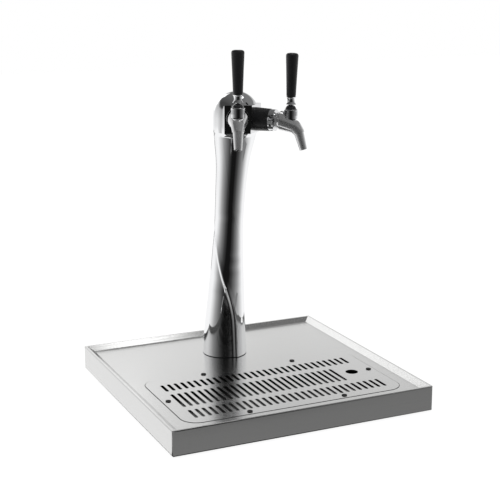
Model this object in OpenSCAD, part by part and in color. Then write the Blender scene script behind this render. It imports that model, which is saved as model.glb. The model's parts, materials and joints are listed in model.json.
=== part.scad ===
// Draft beer tower: a twisted chrome column with a domed head and two lever taps, standing on a
// square stainless drip tray with a lift-out slotted grille.
// The origin is the centre of the tray's underside, +Z is up and the front looks towards -Y.

/* [Drip tray] */
// Width of the tray
tray_w = 450; // [420:1:600]
// Depth of the tray
tray_d = 433; // [420:1:600]
// Height of the tray above the counter
tray_h = 43; // [41:0.5:60]
// Radius of the tray's upright corners
tray_corner_r = 6; // [4:0.5:12]
// Radius of the rolled edge at the foot of the skirt
skirt_edge_r = 5; // [3:0.5:6]
// Radius of the rolled edge at the top of the skirt
rim_edge_r = 2; // [1:0.25:3]
// Width of the flat rim round the top
rim_w = 5; // [4:0.5:12]
// Depth of the deck below the rim
deck_drop = 7; // [4:0.5:10]
// Width, seen from above, of the slope between rim and deck
slope_w = 10; // [5:0.5:16]
// Thickness of the stainless sheet
sheet_t = 1.5; // [1:0.1:2]
// Width of the flange folded in under the skirt
fold_w = 26; // [24:1:40]
// Height of the rubber feet below the folded flange
foot_drop = 1; // [0.6:0.1:3]
// Diameter of the rubber feet
foot_d = 14; // [10:0.5:16]

/* [Grille and basin] */
// Width of the grille
grille_w = 380; // [360:1:384]
// Depth of the grille
grille_d = 203; // [200:1:206]
// Distance of the grille's back edge in front of (-) or behind (+) the tray's centre line
grille_back = 16; // [10:1:17]
// Radius of the grille's corners
grille_corner_r = 27; // [20:1:40]
// Thickness of the grille
grille_t = 2; // [1.5:0.1:3]
// Gap between the grille and the deck round it
grille_gap = 1.2; // [0.8:0.1:2]
// Distance between the centres of neighbouring slots
slot_pitch = 11.4; // [9:0.1:16]
// Width of a slot
slot_w = 5.5; // [3:0.1:7]
// Number of slots in a full row
slot_count = 30; // [12:1:30]
// Number of slots left out of the middle row for the finger hole
slots_left_out = 4; // [4:1:8]
// Plain border between the grille's back edge and the slots
back_border = 30; // [20:0.5:32]
// Plain border between the grille's front edge and the slots
front_border = 20; // [16:0.5:26]
// Plain web between two rows of slots
slot_web = 15; // [8:0.5:20]
// Length of the slots in the back row
back_slot_l = 30; // [24:0.5:36]
// Length of the slots in the middle row
middle_slot_l = 59; // [50:0.5:62]
// Diameter of the finger hole
finger_d = 21; // [16:0.5:26]
// Width of the ledge that the grille lies on
ledge_w = 9; // [6:0.5:12]
// Depth of the basin below its ledge
basin_depth = 16; // [12:0.5:17]
// Width of the basin's welding flange outside the grille opening
basin_flange_w = 9; // [6:0.5:12]
// Diameter of the rubber buffers in the grille
buffer_d = 6.5; // [5:0.1:8]
// Bore of the drain
drain_bore_d = 15; // [12:0.5:17]
// Outside diameter of the drain's threaded tube
drain_tube_d = 24; // [22:0.5:26]
// Diameter of the drain's flange
drain_flange_d = 36; // [33:0.5:44]

/* [Column] */
// Distance of the column's axis behind the tray's centre
column_back = 105; // [90:1:120]
// Distance of the column's axis to the left (-) or right (+) of the tray's centre
column_side = -2; // [-10:0.5:10]
// Turn of the whole tower on the tray, towards +X
tower_turn = 10; // [-20:1:20]
// Radius of the column at its base
base_r = 37.5; // [36:0.5:40]
// Height of the tap axis above the deck
tap_h = 418.5; // [380:0.5:460]
// Forward lean of the head over the base
head_lean = 40.5; // [30:0.5:45]
// Height of the proud lip along the twist
lip_h = 5; // [2:0.25:7]
// Wall of the column
column_wall = 3.2; // [2.5:0.1:4]
// Radius of the round back of the head
head_r = 39.25; // [38.5:0.25:42]
// Height of the flat pads above the tap axis
pad_above = 23.5; // [22:0.25:25]
// Depth of the flat pads below the tap axis
pad_below = 22.5; // [21:0.25:26]
// Distance from the taps' meeting point to each pad
pad_reach = 32.5; // [31:0.25:34]
// Distance of the taps' meeting point in front of the dome's centre
tap_forward = 4; // [2:0.25:5]
// Height of the dome cap above its seam
dome_h = 20; // [16:0.5:26]
// Radius of the dome cap at its seam
dome_r = 32.8; // [31:0.1:33.5]
// Wall of the dome cap
dome_wall = 2; // [1.5:0.1:2.5]
// Radius of the service opening under the dome cap
cap_bore_r = 26; // [24:0.25:26.5]
// Depth of the dome cap's spigot in the opening
spigot_h = 8; // [6:0.5:10]
// Thickness of the rubber gasket under the column
gasket_t = 1; // [0.6:0.1:2]
// Diameter of the base studs
stud_d = 6; // [5:0.5:6]
// Radius of the circle that the studs stand on
stud_circle_r = 27.5; // [27:0.25:28.5]
// Outside diameter of a beer line
line_d = 9.5; // [8:0.1:9.8]
// Bore of a beer line
line_bore_d = 6.7; // [5:0.1:7]

/* [Taps] */
// Angle between the two taps, seen from above
tap_spread = 68; // [64:1:72]
// Rise of the left tap above level, in degrees
left_tap_rise = 4.2; // [-2:0.1:5]
// Rise of the right tap above level, in degrees
right_tap_rise = -1.2; // [-2:0.1:5]
// Outside diameter of the black collar at its pad
collar_d = 38.5; // [36:0.5:40]
// Outside diameter of the black collar at its nut
collar_nut_d = 36.5; // [34:0.5:38]
// Length of the black collar
collar_l = 25.5; // [20:0.5:32]
// Outside diameter of the coupling nut
nut_d = 35.5; // [34:0.5:38]
// Length of the coupling nut
nut_l = 9; // [8.5:0.25:14]
// Outside diameter of the shank
shank_d = 18; // [16:0.5:18.5]
// Bore of the shank
shank_bore_d = 8; // [6:0.5:9]
// Outside diameter of the tap's barrel
barrel_d = 32; // [31:0.5:34]
// Distance from the coupling nut's face to the lever's axis
lever_reach = 25; // [24.5:0.5:32]
// Lean of the spout outwards from upright, in degrees
spout_lean = 18; // [10:1:24]
// Outside diameter of the spout at its root
spout_root_d = 16.5; // [16:0.1:18.5]
// Outside diameter of the spout at its tip
spout_tip_d = 12.6; // [12:0.1:15]
// Length of the spout below its joint
spout_l = 28; // [24:0.5:60]
// Bore of the spout
spout_bore_d = 9.5; // [8:0.5:10]
// Outside diameter of the bonnet
bonnet_d = 22.4; // [22:0.1:24]
// Diameter of the lever's ball
ball_d = 18.4; // [18:0.1:19]
// Height of the ball's centre above the tap axis
ball_h = 18.5; // [18:0.25:20]
// Full forward pull of a lever, in degrees
lever_pull = 25; // [10:1:25]
// Length of the ferrule under the handle
ferrule_l = 12; // [8:0.5:16]
// Length of the handle
handle_l = 70; // [60:1:160]
// Width of the handle at its foot
handle_foot_w = 15.9; // [14:0.1:18]
// Width of the handle near its top
handle_top_w = 21.4; // [18:0.1:28]
// Share of the handle's width that its depth has
handle_depth_share = 0.9; // [0.8:0.01:1]

/* [Hidden] */
$fn = 96;

// Clearances and the overrun of a cut
overrun = 1;
slide_gap = 0.3;
fit_gap = 0.05;
thread_gap = 0.1;

// Heights of the tray
foot_z = foot_drop;
deck_z = tray_h - deck_drop;
ledge_z = deck_z - sheet_t;
basin_floor_z = ledge_z - basin_depth;
slope_angle = atan2(deck_drop, slope_w);

// Feet: a stem through the folded flange and a head that holds it
foot_stem_d = foot_d * 0.45;
foot_head_d = foot_d * 0.65;
foot_head_t = sheet_t;
foot_inset = skirt_edge_r + foot_d * 0.6;

// Screw holes in the folded flange, for fixing the tray to a counter
counter_hole_d = 5.5;
counter_hole_x = tray_w / 2 - foot_inset;
counter_hole_y = tray_d * 0.3;

// Grille layout
grille_centre_y = grille_back - grille_d / 2;
front_slot_l = grille_d - back_border - front_border - 2 * slot_web - back_slot_l - middle_slot_l;
slot_rows_w = (slot_count - 1) * slot_pitch;
finger_x = slot_rows_w / 2 - (slots_left_out - 1) * slot_pitch / 2;
buffer_inset = buffer_d * 1.1 + ledge_w / 4;
buffer_x = grille_w * 0.217;
buffer_head_t = 1.2;
buffer_lip = 1;

// Drain
drain_flange_t = 1.5;
drain_gasket_t = 1.2;
drain_nut_w = drain_tube_d * 1.3;
drain_nut_t = 6;
strainer_d = drain_tube_d - 4 * drain_flange_t / 3;
strainer_t = drain_flange_t;
strainer_hole_d = 3;
strainer_ring_r = strainer_d * 0.3;
strainer_holes = 6;

// Column heights, measured above the deck's gasket
column_z = deck_z + gasket_t;
tap_z = deck_z + tap_h;
axis_h = tap_z - column_z;
pad_low = axis_h - pad_below;
pad_h = pad_above + pad_below;
seam = axis_h + pad_above;
seam_z = column_z + seam;
corbel_h = pad_h * 0.19;
neck_top = pad_low - corbel_h;
// Pairs of shares: height over the tap height, lean over the head's lean
lean_shares = [
    [0, 0], [0.09, 0.015], [0.18, 0.085], [0.27, 0.17], [0.36, 0.24], [0.445, 0.305], [0.53, 0.38],
    [0.615, 0.45], [0.70, 0.54], [0.78, 0.65], [0.865, 0.765], [0.93, 0.87]
];
// Pairs of shares: height over the tap height, radius over the base radius
neck_shares = [
    [0, 1], [0.11, 0.935], [0.225, 0.85], [0.34, 0.775], [0.45, 0.71], [0.535, 0.665], [0.60, 0.664],
    [0.665, 0.68], [0.74, 0.705], [0.795, 0.735], [0.84, 0.785], [0.88, 0.86], [0.93, 0.95]
];
// Pairs of a height share and the azimuth of the lip, in degrees from the front towards +X
twist_shares = [
    [0, 6], [0.075, 5.5], [0.162, 2], [0.218, -5.5], [0.275, -18], [0.329, -34], [0.395, -51], [0.495, -78],
    [0.593, -113], [0.7, -138], [0.8, -156], [0.92, -169.5]
];
// Pairs of a height share and the share of the lip's height that stands proud there
lip_shares = [[0, 1], [0.3, 0.95], [0.4, 0.6], [0.48, 0.25], [0.56, 0.06], [0.65, 0], [1, 0]];
lip_fade = 6;
side_steps = 12;
half_steps = 30;
pad_side_angle = 1.6;
lip_angles = [-9, -6, -3.6, -1.8, -0.4, 1.2, 3, 5.6];
lip_angle_shares = [0, 0.06, 0.3, 0.66, 0.9, 1, 1, 0.97];
neck_rings = 36;
corbel_rings = 4;
// Heights of the rings in the head, as shares of the pad's height
head_ring_shares = [0, 0.25, 0.5, 0.62, 0.72, 0.8, 0.87, 0.94, 1];
opening_plate_t = 4;
base_ring_h = 12;
base_ring_r = base_r - column_wall / 2;
passage_r = stud_circle_r - stud_d;

// Dome cap: a part of a sphere that rises from the seam
dome_sphere_r = (pow(dome_r, 2) + pow(dome_h, 2)) / (2 * dome_h);
cap_ring_r = 1.5;
cap_ring_depth = spigot_h * 0.5;
spigot_r = cap_bore_r - slide_gap;

// Studs, washers and nuts under the deck
stud_washer_t = 1.6;
stud_washer_d = stud_d * 2;
stud_nut_t = 5;
stud_nut_w = 10;
stud_bury = base_ring_h * 0.8;
stud_tail = 2;
stud_clearance = 1;

// Beer lines
line_spread = 8;
grommet_lip_t = 1.5;
line_tail_end = ledge_z - column_z - grommet_lip_t - slide_gap;
line_foot_z = foot_z + sheet_t;
line_rings = 30;
line_sides = 12;

// Tap fittings, as distances along the tap from the taps' meeting point
elbow_reach = 13;
elbow_d = 13;
elbow_leg = 14;
elbow_socket = 8;
shank_start = 20;
shank_nut_d = 26;
shank_nut_t = 5;
wall_inner = pad_reach - column_wall;
collar_start = pad_reach;
collar_end = collar_start + collar_l;
shank_head_d = nut_d - 8;
shank_head_l = 3.6;
tap_washer_t = 1.2;
tap_washer_d = shank_head_d - 4;
tap_flange_t = 2;
tap_flange_d = shank_head_d - 0.5;
nut_start = collar_end + slide_gap;
nut_end = nut_start + nut_l;
nut_pin_d = 5;
nut_pin_depth = 3;
nut_pins = 8;
shank_head_end = collar_end + shank_head_l;
flange_start = shank_head_end + tap_washer_t;
flange_end = flange_start + tap_flange_t;
tap_neck_d = shank_head_d - 4;
barrel_start = nut_end + nut_l - thread_gap;
lever_r = nut_end + lever_reach;
shoulder = lever_r - barrel_d * 0.47;
elbow_knee_r = 11;
knee_out = 7.2;
knee_drop = 8.2;

// Valve: chamber, seat, piston and the well that the lever's arm swings in
chamber_d = 14;
seat_r = lever_r - 14;
block_r = 4;
block_half = 5.5;
block_slot_half = 3.5;
guide_r = block_r + 0.4;
piston_d = 5;
piston_tail = 11;
seal_d = 12;
seal_t = 3;
arm_d = 4;
tip_r = 2.6;
well_half = 3.2;
well_r = 4.8;
arm_reach = (ball_h - guide_r) * tan(lever_pull) + arm_d / 2 / cos(lever_pull) + slide_gap;

// Bonnet, ball and lever
bonnet_seat = guide_r + slide_gap / 2;
boss_r = ball_d / 2 - 0.5;
boss_top = 8.5;
bonnet_lip = 1.5;
bonnet_round = 1.8;
knurl_count = 24;
knurl_w = 1.2;
knurl_depth = 0.5;
lever_d = 8;
lever_thread = 18;
ferrule_foot = ball_h + ball_d / 2 + slide_gap;
ferrule_d = 17.5;
ferrule_waist_d = 12.5;
handle_foot = ferrule_foot + ferrule_l + slide_gap / 2;

// Spout: its line leaves the knee, leans outwards and meets a socket ring before the joint
spout_out = 9.8;
spout_drop = 2;
socket_l = 17;
socket_d = spout_root_d + 2;
socket_rim_l = 3;
spout_spigot_l = 6;
spout_spigot_d = 14;
handle_rings = 22;
handle_sides = 32;

chrome_color = [0.86, 0.87, 0.89];
steel_color = [0.74, 0.74, 0.73];
dark_steel_color = [0.55, 0.56, 0.57];
black_color = [0.06, 0.06, 0.065];
rubber_color = [0.12, 0.12, 0.12];
hose_color = [0.9, 0.9, 0.84];

// Azimuths: zero looks to the front, and a positive turn goes towards +X
left_turn = tower_turn - tap_spread / 2;
right_turn = tower_turn + tap_spread / 2;
function aim(azimuth) = [sin(azimuth), -cos(azimuth)];
function mix(a, b, t) = a + (b - a) * t;
function ease(t) = t * t * (3 - 2 * t);
function place(t, table, i = 0) = i >= len(table) - 2 || t < table[i + 1][0] ? i : place(t, table, i + 1);
function slope_at(table, i) =
    i <= 0 || i >= len(table) - 1
    ? 0
    : (table[i + 1][1] - table[i - 1][1]) / (table[i + 1][0] - table[i - 1][0]);
function curve_part(a, b, m0, m1, t, span) =
    (2 * t * t * t - 3 * t * t + 1) * a + (t * t * t - 2 * t * t + t) * m0 * span
    + (3 * t * t - 2 * t * t * t) * b + (t * t * t - t * t) * m1 * span;
function end_slope(table, i, step) = (table[i + step][1] - table[i][1]) / (table[i + step][0] - table[i][0]);
function tangent(table, i) =
    i == 0 ? end_slope(table, 0, 1) : i == len(table) - 1 ? end_slope(table, i, -1) : slope_at(table, i);
function smooth_lookup(t, table) =
    let (
        u = min(max(t, table[0][0]), table[len(table) - 1][0]),
        i = place(u, table),
        span = table[i + 1][0] - table[i][0]
    )
    curve_part(table[i][1], table[i + 1][1], tangent(table, i), tangent(table, i + 1),
        (u - table[i][0]) / span, span);

// The column's spine leans towards the taps, and the section turns round it with the lip
function spine(h) = aim(tower_turn) * head_lean * smooth_lookup(h / tap_h, lean_shares);
function head_centre() = aim(tower_turn) * head_lean;
function neck_r(h) = base_r * smooth_lookup(h / tap_h, neck_shares);
function lip_turn(h) = h >= neck_top ? tower_turn - 180 : smooth_lookup(h / tap_h, twist_shares);
function lip_rise(h) = lip_h * lookup(h / tap_h, lip_shares);
function wrap(angle) = angle < 0 ? angle + 360 : angle;
function lip_share(angle) =
    angle < lip_angles[0] || angle > lip_angles[len(lip_angles) - 1]
    ? pow(1 - wrap(angle) / 360, lip_fade)
    : 0;

// Angles from the lip of the points round a section, and the share of the lip's rise at each
coarse_angle = tap_spread / side_steps;
pad_side = tap_spread + pad_side_angle;
function turn_step(k) = 180 + k * coarse_angle;
skin_angles = concat(
    [for (i = [4 : len(lip_angles) - 1]) [lip_angles[i], lip_angle_shares[i]]],
    [for (k = [-half_steps : -side_steps - 1]) [turn_step(k), lip_share(turn_step(k))]],
    [[180 - pad_side, lip_share(180 - pad_side)]],
    [for (k = [-side_steps : side_steps]) [turn_step(k), lip_share(turn_step(k))]],
    [[180 + pad_side, lip_share(180 + pad_side)]],
    [for (k = [side_steps + 1 : half_steps]) [turn_step(k), lip_share(turn_step(k))]],
    [for (i = [0 : 3]) [360 + lip_angles[i], lip_angle_shares[i]]]
);
bore_angles = [for (k = [-half_steps : 2 : half_steps]) [turn_step(k), 0]];

function on_pads(angle) = abs(angle - 180) <= tap_spread + 0.01;
function tap_rise(azimuth) = azimuth < tower_turn ? left_tap_rise : right_tap_rise;
// Each pad stands square to its tap, so its distance from the taps' meeting point changes with the height
function pad_out(azimuth, h, inset) =
    (pad_reach - inset) / cos(tap_rise(azimuth)) - tan(tap_rise(azimuth)) * (h - axis_h);
function pad_edge(h, inset) =
    let (
        a = pad_out(left_turn, h, inset),
        b = pad_out(right_turn, h, inset)
    )
    aim(tower_turn) * (a + b) / (2 * cos(tap_spread / 2))
    + aim(tower_turn + 90) * (b - a) / (2 * sin(tap_spread / 2));
function pad_corner(azimuth, side, h, inset) =
    aim(azimuth) * pad_out(azimuth, h, inset) + aim(azimuth + side * 90) * (pad_reach - inset) * tan(tap_spread / 2);
function pad_point(angle, h, inset) =
    let (
        side = sign(angle - 180),
        azimuth = tower_turn + side * tap_spread / 2
    )
    aim(tower_turn) * tap_forward
    + mix(pad_edge(h, inset), pad_corner(azimuth, side, h, inset), abs(angle - 180) / tap_spread);
function head_back_r(h) =
    h > axis_h
    ? sqrt(pow(head_r, 2) - (pow(head_r, 2) - pow(dome_r + 2 * slide_gap, 2)) * pow((h - axis_h) / pad_above, 2))
    : head_r;
function head_point(h, entry, inset) =
    head_centre() + (on_pads(entry[0])
        ? pad_point(entry[0], h, inset)
        : aim(tower_turn - 180 + entry[0]) * (head_back_r(h) - inset));
function neck_point(h, entry, inset) =
    spine(h) + aim(lip_turn(h) + entry[0]) * (neck_r(h) - inset + (inset > 0 ? 0 : lip_rise(h) * entry[1]));
function skin_point(h, entry, inset) =
    h >= pad_low
    ? head_point(h, entry, inset)
    : h <= neck_top
        ? neck_point(h, entry, inset)
        : mix(neck_point(neck_top, entry, inset), head_point(pad_low, entry, inset),
            pow((h - neck_top) / corbel_h, 1.6));

// A closed skin through rings of points, with a middle point at each end
module ring_skin(rings) {
    n = len(rings[0]);
    m = len(rings);
    low_middle = m * n;
    points = concat(
        [for (ring = rings) for (p = ring) p],
        [
            [for (a = [0 : 2]) [for (p = rings[0]) 1] * [for (p = rings[0]) p[a]] / n],
            [for (a = [0 : 2]) [for (p = rings[m - 1]) 1] * [for (p = rings[m - 1]) p[a]] / n]
        ]
    );
    faces = concat(
        [for (i = [0 : m - 2]) for (j = [0 : n - 1]) [i * n + j, (i + 1) * n + j, i * n + (j + 1) % n]],
        [for (i = [0 : m - 2]) for (j = [0 : n - 1])
            [i * n + (j + 1) % n, (i + 1) * n + j, (i + 1) * n + (j + 1) % n]],
        [for (j = [0 : n - 1]) [low_middle, j, (j + 1) % n]],
        [for (j = [0 : n - 1]) [low_middle + 1, (m - 1) * n + (j + 1) % n, (m - 1) * n + j]]
    );
    polyhedron(points = points, faces = faces, convexity = 8);
}

module column_skin(heights, angles, inset) {
    ring_skin([for (h = heights) [for (entry = angles) concat(skin_point(h, entry, inset), [h])]]);
}

skin_heights = concat(
    [for (i = [0 : neck_rings]) neck_top * i / neck_rings],
    [for (i = [1 : corbel_rings - 1]) neck_top + corbel_h * i / corbel_rings],
    [for (s = head_ring_shares) pad_low + pad_h * s]
);
bore_heights = concat(
    [-overrun],
    [for (i = [1 : 2 : neck_rings - 1]) neck_top * i / neck_rings],
    [neck_top, pad_low - corbel_h * 0.3],
    [pad_low + opening_plate_t, pad_low + pad_h / 2, seam - opening_plate_t]
);

// Placing helpers
module on_column_axis() {
    translate([column_side, column_back, 0]) children();
}

module at_head() {
    head = head_centre();
    on_column_axis() translate([head[0], head[1], 0]) children();
}

module at_tap(azimuth) {
    forward = aim(tower_turn) * tap_forward;
    at_head() translate([forward[0], forward[1], tap_z]) rotate([0, 0, azimuth])
        rotate([-tap_rise(azimuth), 0, 0]) children();
}

module along_tap(from) {
    translate([0, -from, 0]) rotate([90, 0, 0]) children();
}

module tap_rod(from, to, d) {
    along_tap(from) cylinder(h = to - from, d = d);
}

module on_spout() {
    translate([0, -lever_r - spout_out, -spout_drop]) rotate([180 - spout_lean, 0, 0]) children();
}

module round_rect(w, d, r) {
    union() {
        square([w - 2 * r, d], center = true);
        square([w, d - 2 * r], center = true);
        for (x = [-1, 1]) for (y = [-1, 1]) translate([x * (w / 2 - r), y * (d / 2 - r)]) circle(r = r);
    }
}

module stud_places() {
    rotate([0, 0, tower_turn]) for (a = [45 : 90 : 315]) rotate([0, 0, a]) translate([stud_circle_r, 0, 0])
        children();
}

// Upright section of the skirt: rolled edges at the foot and at the top
module skirt_section(w, low, high, low_r, top_r) {
    h = high - low;
    translate([0, low]) union() {
        translate([-w / 2 + low_r, 0]) square([w - 2 * low_r, h - top_r]);
        translate([-w / 2, low_r]) square([w, h - low_r - top_r]);
        translate([-w / 2 + top_r, low_r]) square([w - 2 * top_r, h - low_r]);
        for (side = [-1, 1]) {
            translate([side * (w / 2 - low_r), low_r]) circle(r = low_r);
            translate([side * (w / 2 - top_r), h - top_r]) circle(r = top_r);
        }
    }
}

module skirt_solid(w, d, corner, low, high, low_r, top_r) {
    intersection() {
        linear_extrude(height = high) round_rect(w, d, corner);
        rotate([90, 0, 0]) linear_extrude(height = d, center = true) skirt_section(w, low, high, low_r, top_r);
        rotate([90, 0, 90]) linear_extrude(height = w, center = true) skirt_section(d, low, high, low_r, top_r);
    }
}

// The pan that the rim slopes down into, grown outwards and downwards for its underside
module deck_section(w, grow, high) {
    top_half = w / 2 - rim_w + grow / sin(slope_angle);
    low_half = top_half - slope_w * (deck_drop + grow) / deck_drop;
    polygon([
        [-low_half, deck_z - grow], [low_half, deck_z - grow], [top_half, tray_h], [top_half, high],
        [-top_half, high], [-top_half, tray_h]
    ]);
}

module deck_pan(grow, high) {
    intersection() {
        rotate([90, 0, 0]) linear_extrude(height = tray_d, center = true) deck_section(tray_w, grow, high);
        rotate([90, 0, 90]) linear_extrude(height = tray_w, center = true) deck_section(tray_d, grow, high);
    }
}

module foot_places() {
    for (x = [-1, 1]) for (y = [-1, 1])
        translate([x * (tray_w / 2 - foot_inset), y * (tray_d / 2 - foot_inset), 0]) children();
}

module grille_outline(grow) {
    translate([0, grille_centre_y]) round_rect(grille_w + 2 * grow, grille_d + 2 * grow, grille_corner_r + grow);
}

module slot(x, y, l) {
    translate([x, y]) union() {
        square([slot_w, l - slot_w], center = true);
        for (end = [-1, 1]) translate([0, end * (l - slot_w) / 2]) circle(d = slot_w);
    }
}

module slot_row(count, back_edge, l) {
    for (i = [0 : count - 1]) slot(-slot_rows_w / 2 + i * slot_pitch, back_edge - l / 2, l);
}

module buffer_places() {
    half_d = grille_d / 2 - buffer_inset;
    half_w = grille_w / 2 - buffer_inset;
    translate([0, grille_centre_y, 0]) {
        for (x = [-1, 1]) for (y = [-1, 1]) translate([x * buffer_x, y * half_d, 0]) children();
        for (x = [-1, 1]) translate([x * half_w, 0, 0]) children();
    }
}

// Tray pieces
module tray_shell() {
    color(steel_color) difference() {
        skirt_solid(tray_w, tray_d, tray_corner_r, foot_z, tray_h, skirt_edge_r, rim_edge_r);
        deck_pan(0, tray_h + overrun);
        difference() {
            skirt_solid(tray_w - 2 * sheet_t, tray_d - 2 * sheet_t, tray_corner_r - sheet_t, foot_z + sheet_t,
                tray_h - sheet_t, skirt_edge_r - sheet_t, rim_edge_r / 2);
            deck_pan(sheet_t, tray_h + overrun);
        }
        translate([0, 0, foot_z - overrun]) linear_extrude(height = sheet_t + 2 * overrun)
            round_rect(tray_w - 2 * fold_w, tray_d - 2 * fold_w, tray_corner_r);
        translate([0, 0, ledge_z - overrun]) linear_extrude(height = deck_drop + sheet_t)
            grille_outline(grille_gap);
        translate([0, 0, foot_z - overrun]) foot_places() cylinder(h = sheet_t + 2 * overrun, d = foot_stem_d);
        for (x = [-1, 1]) for (y = [-1, 1]) translate([x * counter_hole_x, y * counter_hole_y, foot_z - overrun])
            cylinder(h = sheet_t + 2 * overrun, d = counter_hole_d);
        on_column_axis() translate([0, 0, ledge_z - overrun]) {
            cylinder(h = sheet_t + 2 * overrun, r = passage_r);
            stud_places() cylinder(h = sheet_t + 2 * overrun, d = stud_d + stud_clearance);
        }
    }
}

module tray_feet() {
    color(rubber_color) foot_places() {
        cylinder(h = foot_drop, d = foot_d);
        cylinder(h = foot_drop + sheet_t + foot_head_t, d = foot_stem_d);
        translate([0, 0, foot_z + sheet_t]) cylinder(h = foot_head_t, d = foot_head_d);
    }
}

module drip_basin() {
    wall = sheet_t;
    color(steel_color) difference() {
        union() {
            translate([0, 0, ledge_z - wall]) linear_extrude(height = wall)
                grille_outline(grille_gap + basin_flange_w);
            translate([0, 0, basin_floor_z - wall]) linear_extrude(height = basin_depth)
                grille_outline(wall - ledge_w);
        }
        translate([0, 0, basin_floor_z]) linear_extrude(height = basin_depth + overrun) grille_outline(-ledge_w);
        translate([0, grille_centre_y, basin_floor_z - wall - overrun])
            cylinder(h = wall + 2 * overrun, d = drain_tube_d + 2 * thread_gap);
    }
}

module at_drain() {
    translate([0, grille_centre_y, basin_floor_z]) children();
}

drain_top = drain_gasket_t + drain_flange_t;
drain_length = basin_floor_z - foot_z - sheet_t;

module drain_fitting() {
    color(dark_steel_color) at_drain() difference() {
        union() {
            translate([0, 0, drain_gasket_t]) cylinder(h = drain_flange_t, d = drain_flange_d);
            translate([0, 0, -drain_length]) cylinder(h = drain_length + drain_gasket_t, d = drain_tube_d);
        }
        translate([0, 0, -drain_length - overrun]) cylinder(h = drain_length + drain_top + 2 * overrun,
            d = drain_bore_d);
        translate([0, 0, drain_gasket_t]) cylinder(h = drain_flange_t + overrun, d = strainer_d + 2 * fit_gap);
    }
}

module drain_gasket() {
    color(rubber_color) at_drain() difference() {
        cylinder(h = drain_gasket_t, d = drain_flange_d - drain_gasket_t);
        translate([0, 0, -overrun]) cylinder(h = drain_gasket_t + 2 * overrun, d = drain_tube_d + 2 * thread_gap);
    }
}

module drain_nut() {
    color(dark_steel_color) at_drain() translate([0, 0, -sheet_t - drain_nut_t]) difference() {
        cylinder(h = drain_nut_t, d = drain_nut_w / cos(30), $fn = 6);
        translate([0, 0, -overrun]) cylinder(h = drain_nut_t + 2 * overrun, d = drain_tube_d + 2 * fit_gap);
    }
}

module drain_strainer() {
    color(steel_color) at_drain() translate([0, 0, drain_gasket_t]) difference() {
        cylinder(h = strainer_t, d = strainer_d);
        for (i = [0 : strainer_holes - 1]) rotate([0, 0, i * 360 / strainer_holes])
            translate([strainer_ring_r, 0, -overrun]) cylinder(h = strainer_t + 2 * overrun, d = strainer_hole_d);
        translate([0, 0, -overrun]) cylinder(h = strainer_t + 2 * overrun, d = strainer_hole_d);
    }
}

module grille() {
    back_edge = grille_back - back_border;
    color(steel_color) difference() {
        translate([0, 0, ledge_z]) linear_extrude(height = grille_t) difference() {
            grille_outline(0);
            slot_row(slot_count, back_edge, back_slot_l);
            slot_row(slot_count - slots_left_out, back_edge - back_slot_l - slot_web, middle_slot_l);
            slot_row(slot_count, back_edge - back_slot_l - middle_slot_l - 2 * slot_web, front_slot_l);
            translate([finger_x, grille_centre_y]) circle(d = finger_d);
        }
        translate([0, 0, ledge_z - overrun]) buffer_places() cylinder(h = grille_t + 2 * overrun, d = buffer_d);
    }
}

module grille_buffers() {
    color(rubber_color) translate([0, 0, ledge_z]) buffer_places() {
        cylinder(h = grille_t, d = buffer_d);
        translate([0, 0, grille_t]) cylinder(h = buffer_head_t, d = buffer_d + 2 * buffer_lip);
    }
}

// Column pieces
module column() {
    color(chrome_color) difference() {
        on_column_axis() translate([0, 0, column_z]) union() {
            difference() {
                column_skin(skin_heights, skin_angles, 0);
                column_skin(bore_heights, bore_angles, column_wall);
            }
            cylinder(h = base_ring_h, r = base_ring_r);
        }
        on_column_axis() translate([0, 0, column_z - overrun]) {
            cylinder(h = base_ring_h + 2 * overrun, r = passage_r);
            stud_places() cylinder(h = stud_bury + overrun, d = stud_d + 2 * fit_gap);
        }
        at_head() translate([0, 0, seam_z - opening_plate_t - overrun])
            cylinder(h = opening_plate_t + 2 * overrun, r = cap_bore_r);
        for (azimuth = [left_turn, right_turn]) at_tap(azimuth)
            tap_rod(wall_inner - overrun, pad_reach + overrun, shank_d + 2 * fit_gap);
    }
}

module column_gasket() {
    color(rubber_color) on_column_axis() translate([0, 0, deck_z]) difference() {
        cylinder(h = gasket_t, r = base_ring_r);
        translate([0, 0, -overrun]) cylinder(h = gasket_t + 2 * overrun, r = passage_r);
        translate([0, 0, -overrun]) stud_places() cylinder(h = gasket_t + 2 * overrun, d = stud_d + stud_clearance);
    }
}

module base_studs() {
    low = stud_nut_t + stud_washer_t + sheet_t + stud_tail;
    color(dark_steel_color) on_column_axis() translate([0, 0, deck_z - low]) stud_places()
        cylinder(h = low + gasket_t + stud_bury, d = stud_d);
}

module stud_washers() {
    color(dark_steel_color) on_column_axis()
    translate([0, 0, ledge_z - stud_washer_t]) stud_places() difference() {
        cylinder(h = stud_washer_t, d = stud_washer_d);
        translate([0, 0, -overrun]) cylinder(h = stud_washer_t + 2 * overrun, d = stud_d + 2 * thread_gap);
    }
}

module stud_nuts() {
    color(dark_steel_color) on_column_axis() translate([0, 0, ledge_z - stud_washer_t - stud_nut_t]) stud_places()
        difference() {
            cylinder(h = stud_nut_t, d = stud_nut_w / cos(30), $fn = 6);
            translate([0, 0, -overrun]) cylinder(h = stud_nut_t + 2 * overrun, d = stud_d + 2 * fit_gap);
        }
}

// The grommet fills the passage in the deck and holds both beer lines apart
module line_grommet() {
    color(rubber_color) on_column_axis() translate([0, 0, ledge_z - grommet_lip_t]) difference() {
        union() {
            cylinder(h = grommet_lip_t, r = passage_r - stud_clearance);
            cylinder(h = grommet_lip_t + sheet_t, r = passage_r - slide_gap);
        }
        rotate([0, 0, tower_turn]) for (side = [-1, 1]) translate([side * line_spread, 0, -overrun])
            cylinder(h = grommet_lip_t + sheet_t + 2 * overrun, d = line_d + 2 * fit_gap);
    }
}

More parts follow.
